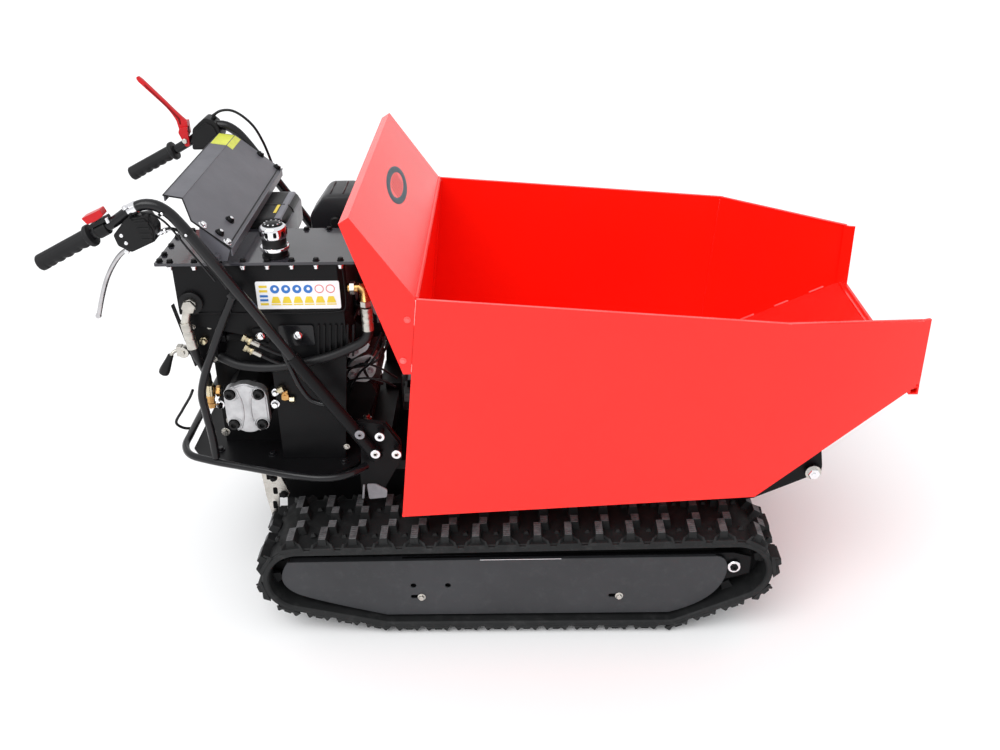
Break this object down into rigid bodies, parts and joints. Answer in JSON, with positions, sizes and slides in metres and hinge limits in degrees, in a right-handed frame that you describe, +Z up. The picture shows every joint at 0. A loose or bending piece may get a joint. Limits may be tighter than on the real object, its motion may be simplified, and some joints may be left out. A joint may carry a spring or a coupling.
{
  "type": "power wheelbarrow",
  "caption": "Walk-behind tracked power wheelbarrow with an open tipping skip, rear engine deck, hydraulic tank and two handlebars.",
  "frame": {"origin": "on the ground, in the middle of the machine's outer box", "axes": "+X forward, to the lip that the load leaves over; +Y to the machine's left as its operator stands; +Z up"},
  "size_m": [1.6175, 0.72, 0.996],
  "materials": {
    "red_paint": "gloss",
    "grey_paint": "satin",
    "black_paint": "satin",
    "console_paint": "satin",
    "track_rubber": "matte",
    "hose_rubber": "satin",
    "grip_rubber": "matte",
    "zinc": "satin",
    "chrome": "polished",
    "cast_aluminium": "cast",
    "cast_iron": "painted",
    "black_plastic": "matte",
    "red_plastic": "gloss"
  },
  "bodies": {
    "chassis": {"track_belt_right": "track_rubber", "track_frame_right": "black_paint", "track_cover_right": "grey_paint", "handlebar_right": "grey_paint", "grip_right": "grip_rubber", "strut_right": "grey_paint", "track_belt_left": "track_rubber", "track_frame_left": "black_paint", "track_cover_left": "grey_paint", "handlebar_left": "grey_paint", "grip_left": "grip_rubber", "strut_left": "grey_paint", "chassis_frame": "black_paint", "gearbox": "cast_iron", "rear_guard_loop": "grey_paint", "deck_tray": "black_paint", "engine_block": "cast_aluminium", "engine_shroud": "black_plastic", "starter_grip": "black_plastic", "fuel_tank": "black_paint", "air_filter": "black_plastic", "muffler": "cast_iron", "tank_support": "black_paint", "hydraulic_tank": "black_paint", "tank_lid": "grey_paint", "pump_body": "cast_iron", "pump_cover": "cast_aluminium", "valve_block": "black_paint", "feed_hose": "hose_rubber", "return_hose": "hose_rubber", "pressure_hose": "hose_rubber", "brake_clamp": "black_plastic", "clutch_clamp": "black_plastic", "stop_bracket": "black_plastic", "console_cover": "console_paint", "brake_cable": "hose_rubber", "clutch_cable": "hose_rubber"},
    "skip": {"skip_shell": "red_paint", "spill_guard": "red_paint", "skip_subframe": "black_paint"},
    "barrel": {"cylinder_barrel": "black_paint"},
    "rod": {"cylinder_rod": "chrome"},
    "brake_lever": {"brake_lever": "chrome"},
    "clutch_lever": {"clutch_lever": "red_plastic"},
    "stop_rocker": {"stop_rocker": "red_plastic"},
    "valve_lever": {"valve_lever": "zinc"},
    "filler_cap": {"filler_cap": "chrome"},
    "fuel_cap": {"fuel_cap": "black_plastic"},
    "sprocket_right": {"drive_sprocket_right": "cast_iron"},
    "idler_right": {"front_idler_right": "cast_iron"},
    "roller_right_1": {"track_roller_right_1": "cast_iron"},
    "roller_right_2": {"track_roller_right_2": "cast_iron"},
    "roller_right_3": {"track_roller_right_3": "cast_iron"},
    "roller_right_4": {"track_roller_right_4": "cast_iron"},
    "sprocket_left": {"drive_sprocket_left": "cast_iron"},
    "idler_left": {"front_idler_left": "cast_iron"},
    "roller_left_1": {"track_roller_left_1": "cast_iron"},
    "roller_left_2": {"track_roller_left_2": "cast_iron"},
    "roller_left_3": {"track_roller_left_3": "cast_iron"},
    "roller_left_4": {"track_roller_left_4": "cast_iron"}
  },
  "joints": [
    {"name": "skip_tip", "type": "hinge", "parent": "chassis", "child": "skip", "pos_m": [0.625, 0, 0.325], "axis": [0, 1, 0], "range_deg": [0, 75]},
    {"name": "cylinder_swing", "type": "hinge", "parent": "chassis", "child": "barrel", "pos_m": [-0.06, 0, 0.135], "axis": [0, -1, 0], "range_deg": [0, 10.6]},
    {"name": "rod_slide", "type": "slide", "parent": "barrel", "child": "rod", "axis": [0.9701, 0, 0.2425], "range_m": [0, 0.0785]},
    {"name": "sprocket_spin_right", "type": "hinge", "parent": "chassis", "child": "sprocket_right", "pos_m": [-0.387, -0.27, 0.135], "axis": [0, 1, 0], "continuous": true},
    {"name": "idler_spin_right", "type": "hinge", "parent": "chassis", "child": "idler_right", "pos_m": [0.472, -0.27, 0.152], "axis": [0, 1, 0], "continuous": true},
    {"name": "roller_spin_right_1", "type": "hinge", "parent": "chassis", "child": "roller_right_1", "pos_m": [-0.215, -0.27, 0.0667], "axis": [0, 1, 0], "continuous": true},
    {"name": "roller_spin_right_2", "type": "hinge", "parent": "chassis", "child": "roller_right_2", "pos_m": [-0.028, -0.27, 0.0667], "axis": [0, 1, 0], "continuous": true},
    {"name": "roller_spin_right_3", "type": "hinge", "parent": "chassis", "child": "roller_right_3", "pos_m": [0.158, -0.27, 0.0667], "axis": [0, 1, 0], "continuous": true},
    {"name": "roller_spin_right_4", "type": "hinge", "parent": "chassis", "child": "roller_right_4", "pos_m": [0.345, -0.27, 0.0667], "axis": [0, 1, 0], "continuous": true},
    {"name": "sprocket_spin_left", "type": "hinge", "parent": "chassis", "child": "sprocket_left", "pos_m": [-0.387, 0.27, 0.135], "axis": [0, 1, 0], "continuous": true},
    {"name": "idler_spin_left", "type": "hinge", "parent": "chassis", "child": "idler_left", "pos_m": [0.472, 0.27, 0.152], "axis": [0, 1, 0], "continuous": true},
    {"name": "roller_spin_left_1", "type": "hinge", "parent": "chassis", "child": "roller_left_1", "pos_m": [-0.215, 0.27, 0.0667], "axis": [0, 1, 0], "continuous": true},
    {"name": "roller_spin_left_2", "type": "hinge", "parent": "chassis", "child": "roller_left_2", "pos_m": [-0.028, 0.27, 0.0667], "axis": [0, 1, 0], "continuous": true},
    {"name": "roller_spin_left_3", "type": "hinge", "parent": "chassis", "child": "roller_left_3", "pos_m": [0.158, 0.27, 0.0667], "axis": [0, 1, 0], "continuous": true},
    {"name": "roller_spin_left_4", "type": "hinge", "parent": "chassis", "child": "roller_left_4", "pos_m": [0.345, 0.27, 0.0667], "axis": [0, 1, 0], "continuous": true},
    {"name": "brake_squeeze", "type": "hinge", "parent": "chassis", "child": "brake_lever", "pos_m": [-0.641, -0.262, 0.803], "axis": [0, 1, 0], "range_deg": [0, 28], "stiffness_Nm_per_rad": 1.2, "springref_deg": -8.59},
    {"name": "clutch_squeeze", "type": "hinge", "parent": "chassis", "child": "clutch_lever", "pos_m": [-0.668, 0.262, 0.858], "axis": [0, -1, 0], "range_deg": [0, 45], "stiffness_Nm_per_rad": 1.5, "springref_deg": -8.59},
    {"name": "stop_rock", "type": "hinge", "parent": "chassis", "child": "stop_rocker", "pos_m": [-0.683, -0.262, 0.8633], "axis": [0, 1, 0], "range_deg": [0, 8]},
    {"name": "valve_swing", "type": "hinge", "parent": "chassis", "child": "valve_lever", "pos_m": [-0.602, -0.178, 0.56], "axis": [0, 1, 0], "range_deg": [-20, 20], "stiffness_Nm_per_rad": 1},
    {"name": "filler_cap_turn", "type": "hinge", "parent": "chassis", "child": "filler_cap", "pos_m": [-0.396, -0.192, 0.7764], "axis": [0, 0, 1], "range_deg": [0, 90]},
    {"name": "fuel_cap_turn", "type": "hinge", "parent": "chassis", "child": "fuel_cap", "pos_m": [-0.504, 0.105, 0.7774], "axis": [0, 0, 1], "range_deg": [0, 90]}
  ],
  "couplings": [
    {"joint": "cylinder_swing", "follows": "skip_tip", "ratio": 0.13931},
    {"joint": "rod_slide", "follows": "skip_tip", "m_per_rad": 0.058986},
    {"joint": "idler_spin_right", "follows": "sprocket_spin_right", "ratio": 1.05},
    {"joint": "roller_spin_right_1", "follows": "sprocket_spin_right", "ratio": 1.8},
    {"joint": "roller_spin_right_2", "follows": "sprocket_spin_right", "ratio": 1.8},
    {"joint": "roller_spin_right_3", "follows": "sprocket_spin_right", "ratio": 1.8},
    {"joint": "roller_spin_right_4", "follows": "sprocket_spin_right", "ratio": 1.8},
    {"joint": "idler_spin_left", "follows": "sprocket_spin_left", "ratio": 1.05},
    {"joint": "roller_spin_left_1", "follows": "sprocket_spin_left", "ratio": 1.8},
    {"joint": "roller_spin_left_2", "follows": "sprocket_spin_left", "ratio": 1.8},
    {"joint": "roller_spin_left_3", "follows": "sprocket_spin_left", "ratio": 1.8},
    {"joint": "roller_spin_left_4", "follows": "sprocket_spin_left", "ratio": 1.8}
  ]
}
